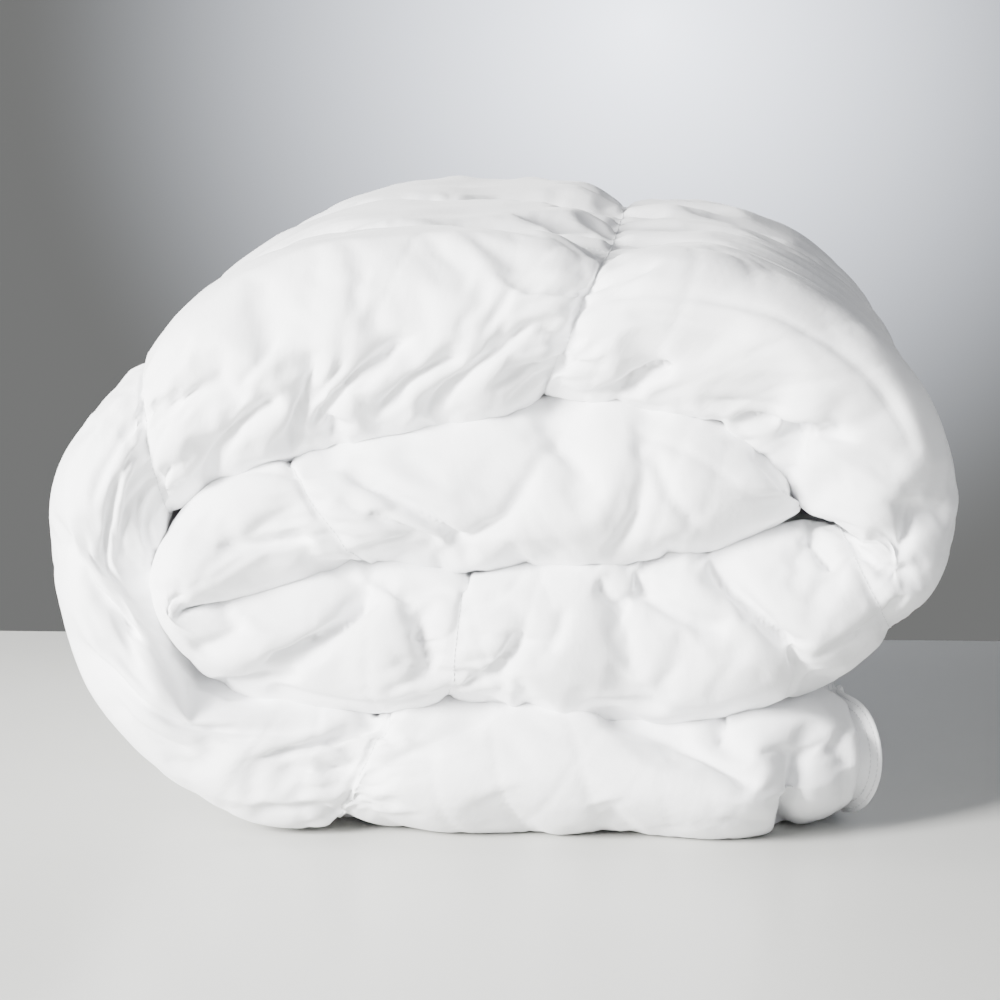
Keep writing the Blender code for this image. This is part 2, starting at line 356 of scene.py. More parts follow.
def makeCover():
    # the closed cover: a fine grid for the face cloth, a coarse one for the back cloth
    rows, columns = len(alongLines), len(acrossLines)
    i, j = np.meshgrid(np.arange(rows), np.arange(columns), indexing="ij")
    facePlaces = placeAt(i, acrossLines[j], 1)
    nearSide = np.nonzero(coverEnd - np.abs(acrossLines) < grid["edge"] * 1.2)[0]
    backPicks = np.union1d(np.linspace(0, columns - 1, grid["backColumns"]).round().astype(int), nearSide)
    bi, bj = np.meshgrid(np.arange(1, rows - 1), backPicks[1:-1], indexing="ij")
    backPlaces = placeAt(bi, acrossLines[bj], -1)
    vertices = np.concatenate([facePlaces.reshape(-1, 3), backPlaces.reshape(-1, 3)])
    patternAt = np.concatenate(
        [
            np.stack([alongLines[i], acrossLines[j]], -1).reshape(-1, 2),
            np.stack([alongLines[bi], acrossLines[bj]], -1).reshape(-1, 2),
        ]
    )
    face = np.arange(rows * columns).reshape(rows, columns)
    back = np.zeros((rows, len(backPicks)), int)
    back[:, 0], back[:, -1] = face[:, 0], face[:, -1]
    back[0], back[-1] = face[0, backPicks], face[-1, backPicks]
    back[1:-1, 1:-1] = rows * columns + np.arange(bi.size).reshape(bi.shape)
    faces = []
    for r in range(rows - 1):
        for c in range(columns - 1):
            faces.append((face[r, c], face[r, c + 1], face[r + 1, c + 1], face[r + 1, c]))
    for r in range(rows - 1):
        for c in range(len(backPicks) - 1):
            first, last = backPicks[c], backPicks[c + 1]
            near = [back[r, c], back[r, c + 1]]
            far = [back[r + 1, c + 1], back[r + 1, c]]
            if r == 0:
                near = list(face[0, first : last + 1])
            if r == rows - 2:
                far = list(face[-1, first : last + 1])[::-1]
            faces.append(tuple(reversed(near + far)))
    mesh = bpy.data.meshes.new("duvetCover")
    mesh.from_pydata(vertices.tolist(), [], [tuple(int(k) for k in f) for f in faces])
    layer = mesh.uv_layers.new(name="pattern")
    corner = np.empty(len(mesh.loops), np.int32)
    mesh.loops.foreach_get("vertex_index", corner)
    spread = patternAt[corner]
    spread[4 * (rows - 1) * (columns - 1) :, 1] += backShift
    layer.data.foreach_set("uv", spread.astype(np.float32).ravel())
    cover = bpy.data.objects.new("duvetCover", mesh)
    bpy.context.scene.collection.objects.link(cover)
    turnOutwards(mesh)
    return cover, patternAt, rows * columns


def places(piece):
    found = np.empty(len(piece.data.vertices) * 3, np.float32)
    piece.data.vertices.foreach_get("co", found)
    return found.reshape(-1, 3).astype(float)


def setPlaces(piece, points):
    piece.data.vertices.foreach_set("co", points.astype(np.float32).ravel())
    piece.data.update()


def facings(piece):
    found = np.empty(len(piece.data.vertices) * 3, np.float32)
    piece.data.vertex_normals.foreach_get("vector", found)
    return found.reshape(-1, 3).astype(float)


def roughened(points, facing, size, height, seed):
    # small uneven swellings, so that the cloth doesn't wrinkle alike everywhere
    shift = Vector((seed * 3.7, seed * 1.9, seed * 5.3))
    lift = np.array([noise.noise(Vector(p) / size + shift) for p in points])
    return points + facing * (lift * height)[:, None]


view = {
    "azimuth": 3.3,
    "elevation": 8.2,
    "distance": 2.36,
    "aim": (0.0, frontY + 0.06, 0.213),
    "lens": 133,
}
azimuth, elevation = math.radians(view["azimuth"]), math.radians(view["elevation"])
towardsEye = Vector(
    (
        math.sin(azimuth) * math.cos(elevation),
        -math.cos(azimuth) * math.cos(elevation),
        math.sin(elevation),
    )
)
eye = Vector(view["aim"]) + towardsEye * view["distance"]


# Next to a hem the stuffed cloth stands in small puckers.
puckers = {"height": 0.0055, "size": 0.017, "from": 0.003, "full": 0.012, "to": 0.075}


def puckered(points, facing, u, w):
    toSide, toEnd = coverEnd - np.abs(w), np.minimum(u - alongLines[0], alongLines[-1] - u)
    away = np.minimum(toSide, toEnd)
    across = np.where(toSide < toEnd, u, w)
    rise = ease((away - puckers["from"]) / (puckers["full"] - puckers["from"]))
    rise *= 1 - ease((away - puckers["full"]) / (puckers["to"] - puckers["full"]))
    seeds = zip(across / puckers["size"], away / 0.09, np.sign(w) * 3)
    lift = np.array([noise.noise(seed) for seed in seeds])
    return points + facing * (lift * rise * puckers["height"])[:, None]


# The creases on the fold, listed one by one. Each runs from one place to another: the share along its
# row, and the height from -1 at the roll's inner edge to 1 at its outer edge. Then come its bow to one
# side, its half width and its depth.
creases = {
    "tail": [
        (0.204, 0.10, 0.204, 1.05, 0.0, 0.0045, 0.016),  # the dimple
        (0.19, -0.55, 0.204, 0.15, 0.05, 0.006, 0.005),
        (0.135, -0.55, 0.097, -0.10, 0.10, 0.006, 0.003),
        (0.097, -0.10, 0.088, 0.60, 0.0, 0.006, 0.003),
        (0.34, 0.45, 0.24, 0.75, 0.05, 0.004, 0.003),
        (0.60, -0.95, 0.30, -0.20, 0.10, 0.003, 0.003),
        (0.78, -0.85, 0.97, 0.20, -0.10, 0.006, 0.005),
        (0.345, -1.00, 0.36, -0.85, 0.0, 0.004, 0.005),
        (0.88, 0.55, 0.99, 0.45, 0.0, 0.005, 0.004),
    ],
    "left": [
        (0.70, 0.75, 0.62, -0.45, -0.15, 0.005, 0.011),
        (0.52, 0.85, 0.16, -0.75, 0.10, 0.005, 0.006),
        (0.44, 0.60, 0.30, 0.25, 0.0, 0.003, 0.003),
        (0.30, -0.15, 0.26, -0.40, 0.0, 0.003, 0.003),
        (0.20, -0.10, 0.03, -0.80, 0.1, 0.005, 0.008),
        (0.02, -0.30, 0.16, -0.05, 0.1, 0.007, 0.006),
        (0.92, 0.10, 0.74, -0.20, 0.05, 0.004, 0.005),
        (0.60, -0.10, 0.52, 0.00, 0.0, 0.003, 0.003),
    ],
    "topLeft": [
        (0.33, 0.45, 0.24, 0.00, 0.10, 0.005, 0.004),
        (0.41, 0.20, 0.38, -0.95, 0.08, 0.007, 0.010),
        (0.36, -0.25, 0.15, -0.95, -0.08, 0.006, 0.009),
        (0.50, 0.00, 0.43, -0.45, 0.0, 0.004, 0.006),
        (0.66, 0.20, 0.44, -0.85, -0.10, 0.006, 0.009),
        (0.60, 0.20, 0.54, -0.35, 0.12, 0.004, 0.004),
        (0.77, -0.10, 0.60, -0.75, -0.12, 0.005, 0.007),
        (0.92, 0.20, 0.72, -0.85, -0.05, 0.006, 0.008),
        (0.02, 0.15, 0.10, 0.25, 0.0, 0.004, 0.004),
        (0.18, 0.30, 0.26, -0.25, 0.0, 0.004, 0.003),
        (0.48, -0.95, 0.49, -0.70, 0.0, 0.006, 0.008),
    ],
    "topRight": [
        (0.20, -0.90, 0.25, -0.35, 0.15, 0.005, 0.015),
        (0.56, 0.00, 0.55, -0.75, 0.15, 0.004, 0.008),
        (0.60, 0.05, 0.56, -0.70, -0.15, 0.004, 0.007),
        (0.45, -0.80, 0.62, -0.80, 0.20, 0.005, 0.010),
        (0.38, -0.65, 0.50, -0.40, 0.0, 0.004, 0.004),
        (0.72, 0.55, 0.86, -0.15, 0.12, 0.007, 0.004),
        (0.04, 0.45, 0.65, 0.60, 0.02, 0.003, 0.003),
        (0.10, 0.25, 0.34, 0.20, 0.0, 0.003, 0.002),
        (0.99, -0.90, 0.87, 0.50, -0.05, 0.005, 0.007),
    ],
    "underRight": [
        (0.36, -0.95, 0.21, 0.46, 0.03, 0.006, 0.013),
        (0.21, 0.40, 0.20, 0.90, -0.10, 0.006, 0.007),
        (0.58, -0.90, 0.35, -0.05, -0.06, 0.007, 0.008),
        (0.68, -0.80, 0.59, -0.45, -0.06, 0.006, 0.006),
        (0.855, -0.25, 0.925, 0.50, 0.05, 0.0045, 0.009),
        (0.925, 0.50, 1.02, 0.68, 0.0, 0.004, 0.004),
        (0.25, 0.90, 0.70, 0.76, 0.0, 0.003, 0.002),
        (0.10, -1.00, 0.06, -0.50, 0.05, 0.005, 0.008),
        (0.155, 0.55, -0.07, 0.55, 0.0, 0.003, 0.0025),
        (0.76, -0.55, 0.80, 0.05, 0.05, 0.006, 0.004),
    ],
    "underLeft": [
        (0.22, -0.85, 0.36, 0.35, 0.08, 0.008, 0.015),
        (0.10, -0.60, 0.04, 0.30, 0.0, 0.006, 0.005),
        (0.46, -0.55, 0.50, 0.50, 0.0, 0.007, 0.005),
        (0.28, 0.50, 0.44, 0.90, 0.0, 0.003, 0.003),
        (0.02, 0.75, 0.34, 0.80, 0.0, 0.003, 0.003),
        (0.80, 0.20, 0.95, -0.40, -0.10, 0.006, 0.008),
        (0.62, 0.30, 0.68, -0.30, 0.0, 0.005, 0.005),
    ],
    "core": [
        (0.62, 0.75, 0.56, -0.70, 0.10, 0.006, 0.0035),
        (0.64, 0.55, 0.72, -0.55, -0.08, 0.007, 0.0035),
        (0.60, 0.80, 0.80, 0.10, 0.05, 0.006, 0.0030),
        (0.46, 0.80, 0.52, 0.20, 0.0, 0.007, 0.0030),
        (0.42, 0.40, 0.20, -0.60, 0.08, 0.004, 0.0030),
        (0.10, 0.75, 0.24, -0.60, 0.05, 0.006, 0.0080),
        (0.06, 0.35, 0.18, -0.70, 0.0, 0.005, 0.0055),
        (0.82, 0.80, 0.90, 0.00, 0.10, 0.004, 0.0060),
        (0.95, 0.80, 0.91, 0.00, -0.10, 0.004, 0.0060),
    ],
}

# Small gathers that fan out from each cross seam on both sides.
gatherShares = (1.0, 1.0, 1.0, 0.25, 0.8, 0.4)  # how deep at each seam, less where the strip turns
gathers = {"each": 5, "reach": (0.018, 0.055), "depth": (0.0015, 0.0042), "wide": 0.0032, "seed": 7}
fineGathers = {"each": 9, "reach": (0.012, 0.045), "depth": (0.0010, 0.0026), "wide": 0.0027, "seed": 19}


def fanned(style):
    found = {name: [] for name in creases}
    for number in range(1, pattern["rows"]):
        chance = random.Random(style["seed"] * 31 + number)
        for step in range(style["each"]):
            height = -0.85 + 1.7 * (step + chance.uniform(0.2, 0.8)) / style["each"]
            for side, name in ((-1, list(creases)[number - 1]), (1, list(creases)[number])):
                start = 1.0 if side < 0 else 0.0
                away = side * chance.uniform(*style["reach"]) / rowLength
                lean = height + chance.uniform(-0.35, 0.35)
                thin = min(1.0, np.interp(number * rowLength, alongLines, halfThick) / 0.045)
                depth = chance.uniform(*style["depth"]) * thin**2 * gatherShares[number - 1]
                bow = chance.uniform(-0.15, 0.15)
                found[name].append((start, height, start + away, lean, bow, style["wide"], depth))
    return found


for name, found in fanned(gathers).items():
    creases[name] += found


def foldPlaces(u, w):
    # each point on the fold as metres along the strip and the rise from its mid-line
    along = np.interp(u, alongLines, edgeTravel)
    half = np.interp(u, alongLines, halfThick)
    rise = np.sin(np.clip(w / foldReach, -1, 1) * math.pi / 2) * half
    rise += np.sign(w) * np.maximum(np.abs(w) - foldReach, 0)
    return np.stack([along, rise], axis=1)


def creasePath(row, crease, steps=12):
    startShare, startHeight, endShare, endHeight, bow = crease[:5]
    t = np.linspace(0, 1, steps)
    share = startShare + (endShare - startShare) * t
    height = startHeight + (endHeight - startHeight) * t
    where = (row + share) * rowLength
    along = np.interp(where, alongLines, edgeTravel)
    path = np.stack([along, height * np.interp(where, alongLines, halfThick)], 1)
    run = path[-1] - path[0]
    aside = np.array([-run[1], run[0]])
    return path + aside * (bow * np.sin(math.pi * t))[:, None]


def pathDistance(spots, path):
    # how far each spot is from the path, and how far along the path that is, from 0 to 1
    best, along = np.full(len(spots), 9.0), np.zeros(len(spots))
    for k in range(len(path) - 1):
        run = path[k + 1] - path[k]
        t = np.clip(((spots - path[k]) @ run) / (run @ run), 0, 1)
        gap = np.linalg.norm(spots - path[k] - t[:, None] * run, axis=1)
        nearer = gap < best
        best[nearer] = gap[nearer]
        along[nearer] = (k + t[nearer]) / (len(path) - 1)
    return best, along


pressing = {
    "reach": 0.14,  # how far from the fold's mid-line the creases reach
    "finest": 0.0026,  # half width of the narrowest crease that the grid can hold
    "before": (0.8, 1.4, 1.6),  # shares of depth and width, then sharpness: before the simulation
    "after": (0.62, 0.55, 1.1),
    "fine": (1.0, 1.0, 1.2),
}


def pressCreases(wanted, points, facing, u, w, front, share, narrow, sharp):
    # pushes the creases in; returns the new points and how near each one is to a crease
    spots = foldPlaces(u, w)
    moved, nearness = points.copy(), np.zeros(len(points))
    for row, name in enumerate(wanted):
        inRow = front & (u > (row - 0.15) * rowLength) & (u < (row + 1.15) * rowLength)
        picked = np.nonzero(inRow)[0]
        for crease in wanted[name]:
            width, depth = crease[5:]
            gap, along = pathDistance(spots[picked], creasePath(row, crease))
            fade = ease(np.minimum(along, 1 - along) / 0.22 + 0.25)
            narrowed = max(width * narrow, pressing["finest"])
            press = np.exp(-((gap / narrowed) ** sharp)) * fade
            moved[picked] -= facing[picked] * (press * depth * share)[:, None]
            strength = min(1.0, depth / 0.008)
            nearness[picked] = np.maximum(nearness[picked], press * strength)
    return moved, nearness


puffing = {
    "frames": 14,
    "quality": 5,
    "pressure": 3.0,
    "spare": 0.085,  # cloth to spare in each direction
    "bend": 0.06,
    "most": 0.016,  # how far a point may move
    "looseHold": 0.02,  # from 0, free, to 1, held still
    "creaseHold": 0.6,
    "foldEdge": 0.05,  # how far from the mid-line the seams are held by foldHolds
    "innerLeaf": 0.10,  # behind this the inner leaf is held still
    "unevenSize": 0.045,
    "uneven": 0.003,
}


def puff(piece, held):
    # air and down press the cloth outwards between its seams
    group = piece.vertex_groups.new(name="held")
    for level in np.unique(held.round(2)):
        picked = np.nonzero(held.round(2) == level)[0]
        group.add([int(k) for k in picked], float(level), "REPLACE")
    before = places(piece)
    cloth = piece.modifiers.new("puff", "CLOTH")
    settings = cloth.settings
    settings.quality = puffing["quality"]
    settings.mass = 0.2
    settings.tension_stiffness = 20
    settings.compression_stiffness = 20
    settings.shear_stiffness = 8
    settings.bending_stiffness = puffing["bend"]
    settings.tension_damping = 8
    settings.compression_damping = 8
    settings.shear_damping = 8
    settings.bending_damping = 0.5
    settings.air_damping = 3
    settings.vertex_group_mass = "held"
    settings.pin_stiffness = 1.0
    settings.shrink_min = -puffing["spare"]
    settings.use_pressure = True
    settings.uniform_pressure_force = puffing["pressure"]
    settings.effector_weights.gravity = 0
    cloth.collision_settings.use_collision = False
    cloth.collision_settings.use_self_collision = False
    cloth.point_cache.frame_start = 1
    cloth.point_cache.frame_end = puffing["frames"]
    scene = bpy.context.scene
    for number in range(1, puffing["frames"] + 1):
        scene.frame_set(number)
    graph = bpy.context.evaluated_depsgraph_get()
    shaped = piece.evaluated_get(graph)
    after = np.empty(len(shaped.data.vertices) * 3, np.float32)
    shaped.data.vertices.foreach_get("co", after)
    after = after.reshape(-1, 3).astype(float)
    piece.modifiers.remove(cloth)
    moved = after - before
    length = np.linalg.norm(moved, axis=1)
    print("puff: moved", length.mean().round(4), "on average,", length.max().round(4), "at most")
    limit = puffing["most"]
    scale = np.where(length > limit, limit / np.maximum(length, 1e-9), 1.0)
    setPlaces(piece, before + moved * scale[:, None])
    scene.frame_set(1)


cover, patternAt, faceCount = makeCover()
print("cover laid out:", len(cover.data.vertices), "vertices")

u, w = patternAt[:, 0], patternAt[:, 1]
onFace = np.arange(len(u)) < faceCount
held = np.full(len(u), puffing["looseHold"])
onSeam = seamDistance(u) < 0.001
firm = np.array(seams["foldHolds"])[np.round(u / rowLength).astype(int)]
held[onSeam] = np.where(np.abs(w) < puffing["foldEdge"], firm, 1.0)[onSeam]
held[columnDistance(w) < 0.001] = 1.0
held[(w < -puffing["innerLeaf"]) & onFace] = 1.0
held[~onFace] = 1.0
held[(u <= alongLines[1]) | (u >= alongLines[-2]) | (np.abs(w) > coverEnd - 0.002)] = 1.0
points = puckered(places(cover), facings(cover), u, w)
setPlaces(cover, points)
points, facing = places(cover), facings(cover)
loose = held < 0.5
size, height = puffing["unevenSize"], puffing["uneven"]
points[loose] = roughened(points[loose], facing[loose], size, height, 1)
front = onFace & (np.abs(w) < pressing["reach"])
points, nearness = pressCreases(creases, points, facing, u, w, front, *pressing["before"])
held = np.maximum(held, np.where(nearness > 0.75, puffing["creaseHold"], 0.0))
setPlaces(cover, points)
puff(cover, held)
print("cover puffed")

tableGap = 0.0003  # the cloth stays this far above the table
points = places(cover)
points[:, 2] = np.maximum(points[:, 2], tableGap)
setPlaces(cover, points)

smooth = cover.modifiers.new("smooth", "SUBSURF")
smooth.levels = smooth.render_levels = 1
smooth.uv_smooth = "NONE"
bpy.ops.object.select_all(action="DESELECT")
bpy.context.view_layer.objects.active = cover
cover.select_set(True)
bpy.ops.object.modifier_apply(modifier="smooth")
cover.data.shade_smooth()


def patternPlaces(piece):
    # each vertex's place in the flat pattern, read back from the UV map
    layer = piece.data.uv_layers["pattern"]
    uv = np.empty(len(piece.data.loops) * 2, np.float32)
    layer.data.foreach_get("uv", uv)
    corner = np.empty(len(piece.data.loops), np.int32)
    piece.data.loops.foreach_get("vertex_index", corner)
    found = np.zeros((len(piece.data.vertices), 2))
    found[corner] = uv.reshape(-1, 2)
    return found


points, facing, fine = places(cover), facings(cover), patternPlaces(cover)
towards = facing @ np.array(towardsEye)
fineU, fineW = fine[:, 0], fine[:, 1]
front = (np.abs(fineW) < pressing["reach"]) & (towards > 0.0) & (points[:, 1] < frontY + 0.15)
points = pressCreases(creases, points, facing, fineU, fineW, front, *pressing["after"])[0]
small = fanned(fineGathers)
points = pressCreases(small, points, facing, fineU, fineW, front, *pressing["fine"])[0]

# Fine wrinkles in patches: slanting across the fold, and along the duvet on the flat of the boxes.
wrinkles = {
    "narrow": 0.030,
    "long": 0.16,
    "slant": 0.55,
    "deep": 0.0013,
    "line": 0.07,
    "patch": 0.10,
    "fromHem": 0.02,
}


def wrinkled(points, facing, u, w):
    onFold = 1 - ease((np.abs(w) - 0.03) / 0.05)
    slantU, slantW = math.cos(wrinkles["slant"]), math.sin(wrinkles["slant"])
    lift = np.zeros(len(points))
    for weight, across, along, seed in (
        (onFold, u * slantU + w * slantW, w * slantU - u * slantW, 2.0),
        (onFold * 0.8, u * slantU - w * slantW, w * slantU + u * slantW, 9.0),
        (1 - onFold, w, u, 5.0),
    ):
        seeds = zip(across / wrinkles["narrow"], along / wrinkles["long"], np.full(len(u), seed))
        line = np.exp(-np.abs([noise.noise(k) for k in seeds]) / wrinkles["line"])
        patches = zip(u / wrinkles["patch"], w / wrinkles["patch"], np.full(len(u), seed + 0.5))
        patch = ease((np.array([noise.noise(k) for k in patches]) + 0.10) / 0.35)
        lift -= weight * line * patch * wrinkles["deep"]
    return points + facing * lift[:, None]


onFaceCloth = fineW < backShift / 2
away = np.minimum(coverEnd - np.abs(fineW), np.minimum(fineU, pattern["length"] - fineU))
shaped = np.nonzero(onFaceCloth & (away > wrinkles["fromHem"]))[0]
points[shaped] = wrinkled(points[shaped], facing[shaped], fineU[shaped], fineW[shaped])
points[:, 2] = np.maximum(points[:, 2], tableGap)
setPlaces(cover, points)
print("creases and wrinkles pressed in")


def node(tree, kind, **settings):
    made = tree.nodes.new(kind)
    for name, value in settings.items():
        if hasattr(made, name):
            setattr(made, name, value)
        else:
            made.inputs[name].default_value = value
    return made


def shaderOf(name, roughness):
    made = bpy.data.materials.new(name)
    made.use_nodes = True
    shader = made.node_tree.nodes["Principled BSDF"]
    shader.inputs["Roughness"].default_value = roughness
    shader.inputs["Specular IOR Level"].default_value = 0.25
    return made, made.node_tree, shader


def tinted(tree, factor, first, second, socket):
    # a colour between two others, by the factor
    tint = node(tree, "ShaderNodeMix", data_type="RGBA")
    tint.inputs["A"].default_value = first
    tint.inputs["B"].default_value = second
    tree.links.new(factor, tint.inputs["Factor"])
    tree.links.new(tint.outputs["Result"], socket)


def bumped(tree, shader, height, strength):
    bump = node(tree, "ShaderNodeBump", Strength=strength, Distance=0.0001)
    tree.links.new(height, bump.inputs["Height"])
    tree.links.new(bump.outputs["Normal"], shader.inputs["Normal"])


cottonLook = {
    "white": (0.93, 0.932, 0.94, 1),
    "shaded": (0.90, 0.905, 0.92, 1),
    "ribs": 66.632866,  # scale of the wave texture: one faint rib every 4.7 mm
    "slub": 260.0,
    "rumple": 95.0,
    "sheen": 0.30,
}


def cottonMaterial(name, onPattern, look):
    # cotton: faint ribs both ways, thicker threads here and there, a rumple and faint cloudiness
    made, tree, shader = shaderOf(name, 0.82)
    link = tree.links.new
    if onPattern:
        place = node(tree, "ShaderNodeUVMap", uv_map="pattern").outputs["UV"]
    else:
        place = node(tree, "ShaderNodeTexCoord").outputs["Object"]
    weave = []
    for direction in ("X", "Y"):
        ribs = node(tree, "ShaderNodeTexWave", bands_direction=direction, Scale=look["ribs"])
        ribs.inputs["Distortion"].default_value = 0.6
        ribs.inputs["Detail"].default_value = 1.0
        link(place, ribs.inputs["Vector"])
        weave.append(ribs.outputs["Fac"])
    crossed = node(tree, "ShaderNodeMath", operation="MAXIMUM")
    link(weave[0], crossed.inputs[0])
    link(weave[1], crossed.inputs[1])
    slubs = []
    for stretch in ((1.0, 0.08, 1.0), (0.08, 1.0, 1.0)):
        along = node(tree, "ShaderNodeMapping")
        along.inputs["Scale"].default_value = stretch
        link(place, along.inputs["Vector"])
        slub = node(tree, "ShaderNodeTexNoise", Scale=look["slub"], Detail=2.0)
        link(along.outputs["Vector"], slub.inputs["Vector"])
        slubs.append(slub.outputs["Fac"])
    uneven = node(tree, "ShaderNodeMath", operation="ADD")
    link(slubs[0], uneven.inputs[0])
    link(slubs[1], uneven.inputs[1])
    rumple = node(tree, "ShaderNodeTexNoise", Scale=look["rumple"], Detail=4.0, Roughness=0.6)
    link(place, rumple.inputs["Vector"])
    cloud = node(tree, "ShaderNodeTexNoise", Scale=6.0, Detail=3.0)
    link(place, cloud.inputs["Vector"])
    spread = node(tree, "ShaderNodeMapRange")
    spread.inputs["From Min"].default_value = 0.30
    spread.inputs["From Max"].default_value = 0.62
    link(cloud.outputs["Fac"], spread.inputs["Value"])
    tinted(tree, spread.outputs["Result"], look["shaded"], look["white"], shader.inputs["Base Color"])
    polish = node(tree, "ShaderNodeMapRange")
    polish.inputs["To Min"].default_value = 0.74
    polish.inputs["To Max"].default_value = 0.88
    link(uneven.outputs["Value"], polish.inputs["Value"])
    link(polish.outputs["Result"], shader.inputs["Roughness"])
    normal = None
    for height, strength, distance in (
        (rumple.outputs["Fac"], 0.35, 0.0012),
        (uneven.outputs["Value"], 0.30, 0.0002),
        (crossed.outputs["Value"], 0.30, 0.00012),
    ):
        bump = node(tree, "ShaderNodeBump", Strength=strength, Distance=distance)
        link(height, bump.inputs["Height"])
        if normal:
            link(normal, bump.inputs["Normal"])
        normal = bump.outputs["Normal"]
    link(normal, shader.inputs["Normal"])
    shader.inputs["Sheen Weight"].default_value = look["sheen"]
    shader.inputs["Sheen Roughness"].default_value = 0.45
    return made


cotton = cottonMaterial("whiteCotton", True, cottonLook)
cover.data.materials.append(cotton)
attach(cover, "root")
keptNodes = ("tail_hem", "core_hem", "side_hem_outer", "side_hem_inner", "care_label")
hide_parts(*[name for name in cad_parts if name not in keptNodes])


def meshPiece(name, vertices, faces, material):
    mesh = bpy.data.meshes.new(name)
    mesh.from_pydata(np.asarray(vertices).tolist(), [], [tuple(int(k) for k in f) for f in faces])
    piece = bpy.data.objects.new(name, mesh)
    bpy.context.scene.collection.objects.link(piece)
    turnOutwards(mesh)
    mesh.shade_smooth()
    mesh.materials.append(material)
    return piece


def unit(vectors):
    return vectors / np.maximum(np.linalg.norm(vectors, axis=-1, keepdims=True), 1e-9)


# The sewn edges: cloth turned in and stitched flat, standing out from the boxes all round.
hem = {
    "reach": 0.017,  # past the boxes
    "tuck": 0.006,  # inside them
    "thick": 0.0028,
    "ruffle": 0.0012,
    "ruffleSize": 0.028,
    "stitchRows": (0.0030, 0.0075),  # back from the free edge
    "stitchDepth": 0.60,  # the grooves' share of half the thickness
    "lift": 0.0004,  # above the table
}
# round the band's section: share of its reach, then share of half its thickness
hemTop = [
    (0, 1),
    (0.50, 1.1),
    (0.62, 1),
    (0.674, 0.55),  # the groove under the inner row of stitches
    (0.73, 1),
    (0.82, 1),
    (0.870, 0.55),  # and under the outer one
    (0.92, 1),
    (1, 0.5),
]
hemSection = [(share, -side) for share, side in hemTop] + hemTop[::-1]


def coverEdge(i, w):
    # the line where the face cloth meets the back cloth
    return (placeAt(i, w, 1) + placeAt(i, w, -1)) / 2


def endLine(first, second):
    # the line of an end hem, with the way out from the boxes, from one side to the other
    w = lines(-halfWidth, (-foldReach * 1.6, 90), (foldReach * 1.6, 60), (halfWidth, 110))
    inside = np.clip(w, -coverEnd, coverEnd)
    edge = coverEdge(np.full(len(w), first), inside)
    edge[:, 1] += np.abs(w) - np.abs(inside)
    within = coverEdge(np.full(len(w), second), inside)
    within[:, 1] += np.abs(w) - np.abs(inside)
    way = unit(edge - within)
    way[:, 1] = 0
    return edge, unit(way)


def sideLine(side):
    i = np.arange(len(alongLines))
    return coverEdge(i, np.full(len(i), side * coverEnd)), np.tile((0.0, 1.0, 0.0), (len(i), 1))


def hemBand(name, edge, way, replaced):
    tangent = unit(np.gradient(edge, axis=0))
    facing = unit(np.cross(tangent, way))
    travelled = travel(edge)
    sway = np.array([noise.noise((t / hem["ruffleSize"], len(name), 0.5)) for t in travelled])
    rings = []
    for share, side in hemSection:
        out = -hem["tuck"] + share * (hem["tuck"] + hem["reach"])
        lift = side * hem["thick"] / 2 + sway * hem["ruffle"] * share
        rings.append(edge + way * out + facing * np.reshape(lift, (-1, 1)))
    ringed = np.stack(rings, axis=1)
    ringed[..., 2] = np.maximum(ringed[..., 2], hem["lift"])
    count, around = ringed.shape[:2]
    faces = [tuple(range(around)), tuple(reversed(range((count - 1) * around, count * around)))]
    for k in range(count - 1):
        for r in range(around):
            near, far = k * around + r, k * around + (r + 1) % around
            faces.append((near, far, far + around, near + around))
    band = meshPiece(name, ringed.reshape(-1, 3), faces, hemCotton)
    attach(band, "root")
    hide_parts(replaced)
    wide = hem["tuck"] + hem["reach"]
    for back in hem["stitchRows"]:
        for side in (1, -1):
            share = 1 - back / wide
            out = hem["reach"] - back
            lift = side * hem["thick"] / 2 * hem["stitchDepth"] + sway * hem["ruffle"] * share
            stitchRuns.append((edge + way * out + facing * lift[:, None], facing * side))


hemCotton = cottonMaterial("hemCotton", False, dict(cottonLook, rumple=180.0))
stitchRuns = []
tailEdge, tailWay = endLine(0, 3)
coreEdge, coreWay = endLine(len(alongLines) - 1, len(alongLines) - 4)
hemBand("tailHem", tailEdge, tailWay, "tail_hem")
hemBand("coreHem", coreEdge, coreWay, "core_hem")
for name, side, replaced in (
    ("sideHemOuter", 1, "side_hem_outer"),
    ("sideHemInner", -1, "side_hem_inner"),
):
    edge, way = sideLine(side)
    hemBand(name, edge, way, replaced)
print("hems sewn on")

# Stitches: one small bead of thread, copied along each row.
thread = {"pitch": 0.0036, "long": 0.0028, "thick": 0.0007, "sunk": 0.0001}


def threadMaterial():
    made, tree, shader = shaderOf("cottonThread", 0.6)
    place = node(tree, "ShaderNodeTexCoord").outputs["Object"]
    twist = node(tree, "ShaderNodeTexWave", Scale=900.0, Distortion=1.0, bands_direction="DIAGONAL")
    tree.links.new(place, twist.inputs["Vector"])
    # Painted shade: the thread is coloured greyer than the white cloth so that the stitch rows show as
    # faint grey lines, and darker still in the grooves of its twist.
    shaded, lit = (0.66, 0.665, 0.68, 1), (0.80, 0.805, 0.815, 1)
    tinted(tree, twist.outputs["Fac"], shaded, lit, shader.inputs["Base Color"])
    bumped(tree, shader, twist.outputs["Fac"], 0.4)
    shader.inputs["Sheen Weight"].default_value = 0.2
    return made


def oneStitch():
    bpy.ops.object.select_all(action="DESELECT")
    bpy.ops.mesh.primitive_uv_sphere_add(segments=6, ring_count=3, radius=0.5)
    bead = bpy.context.object
    bpy.ops.object.mode_set(mode="EDIT")
    bpy.ops.transform.resize(value=(thread["thick"], thread["thick"], thread["long"]))
    bpy.ops.object.mode_set(mode="OBJECT")
    vertices = places(bead)
    faces = [tuple(face.vertices) for face in bead.data.polygons]
    bpy.data.objects.remove(bead)
    return vertices, faces


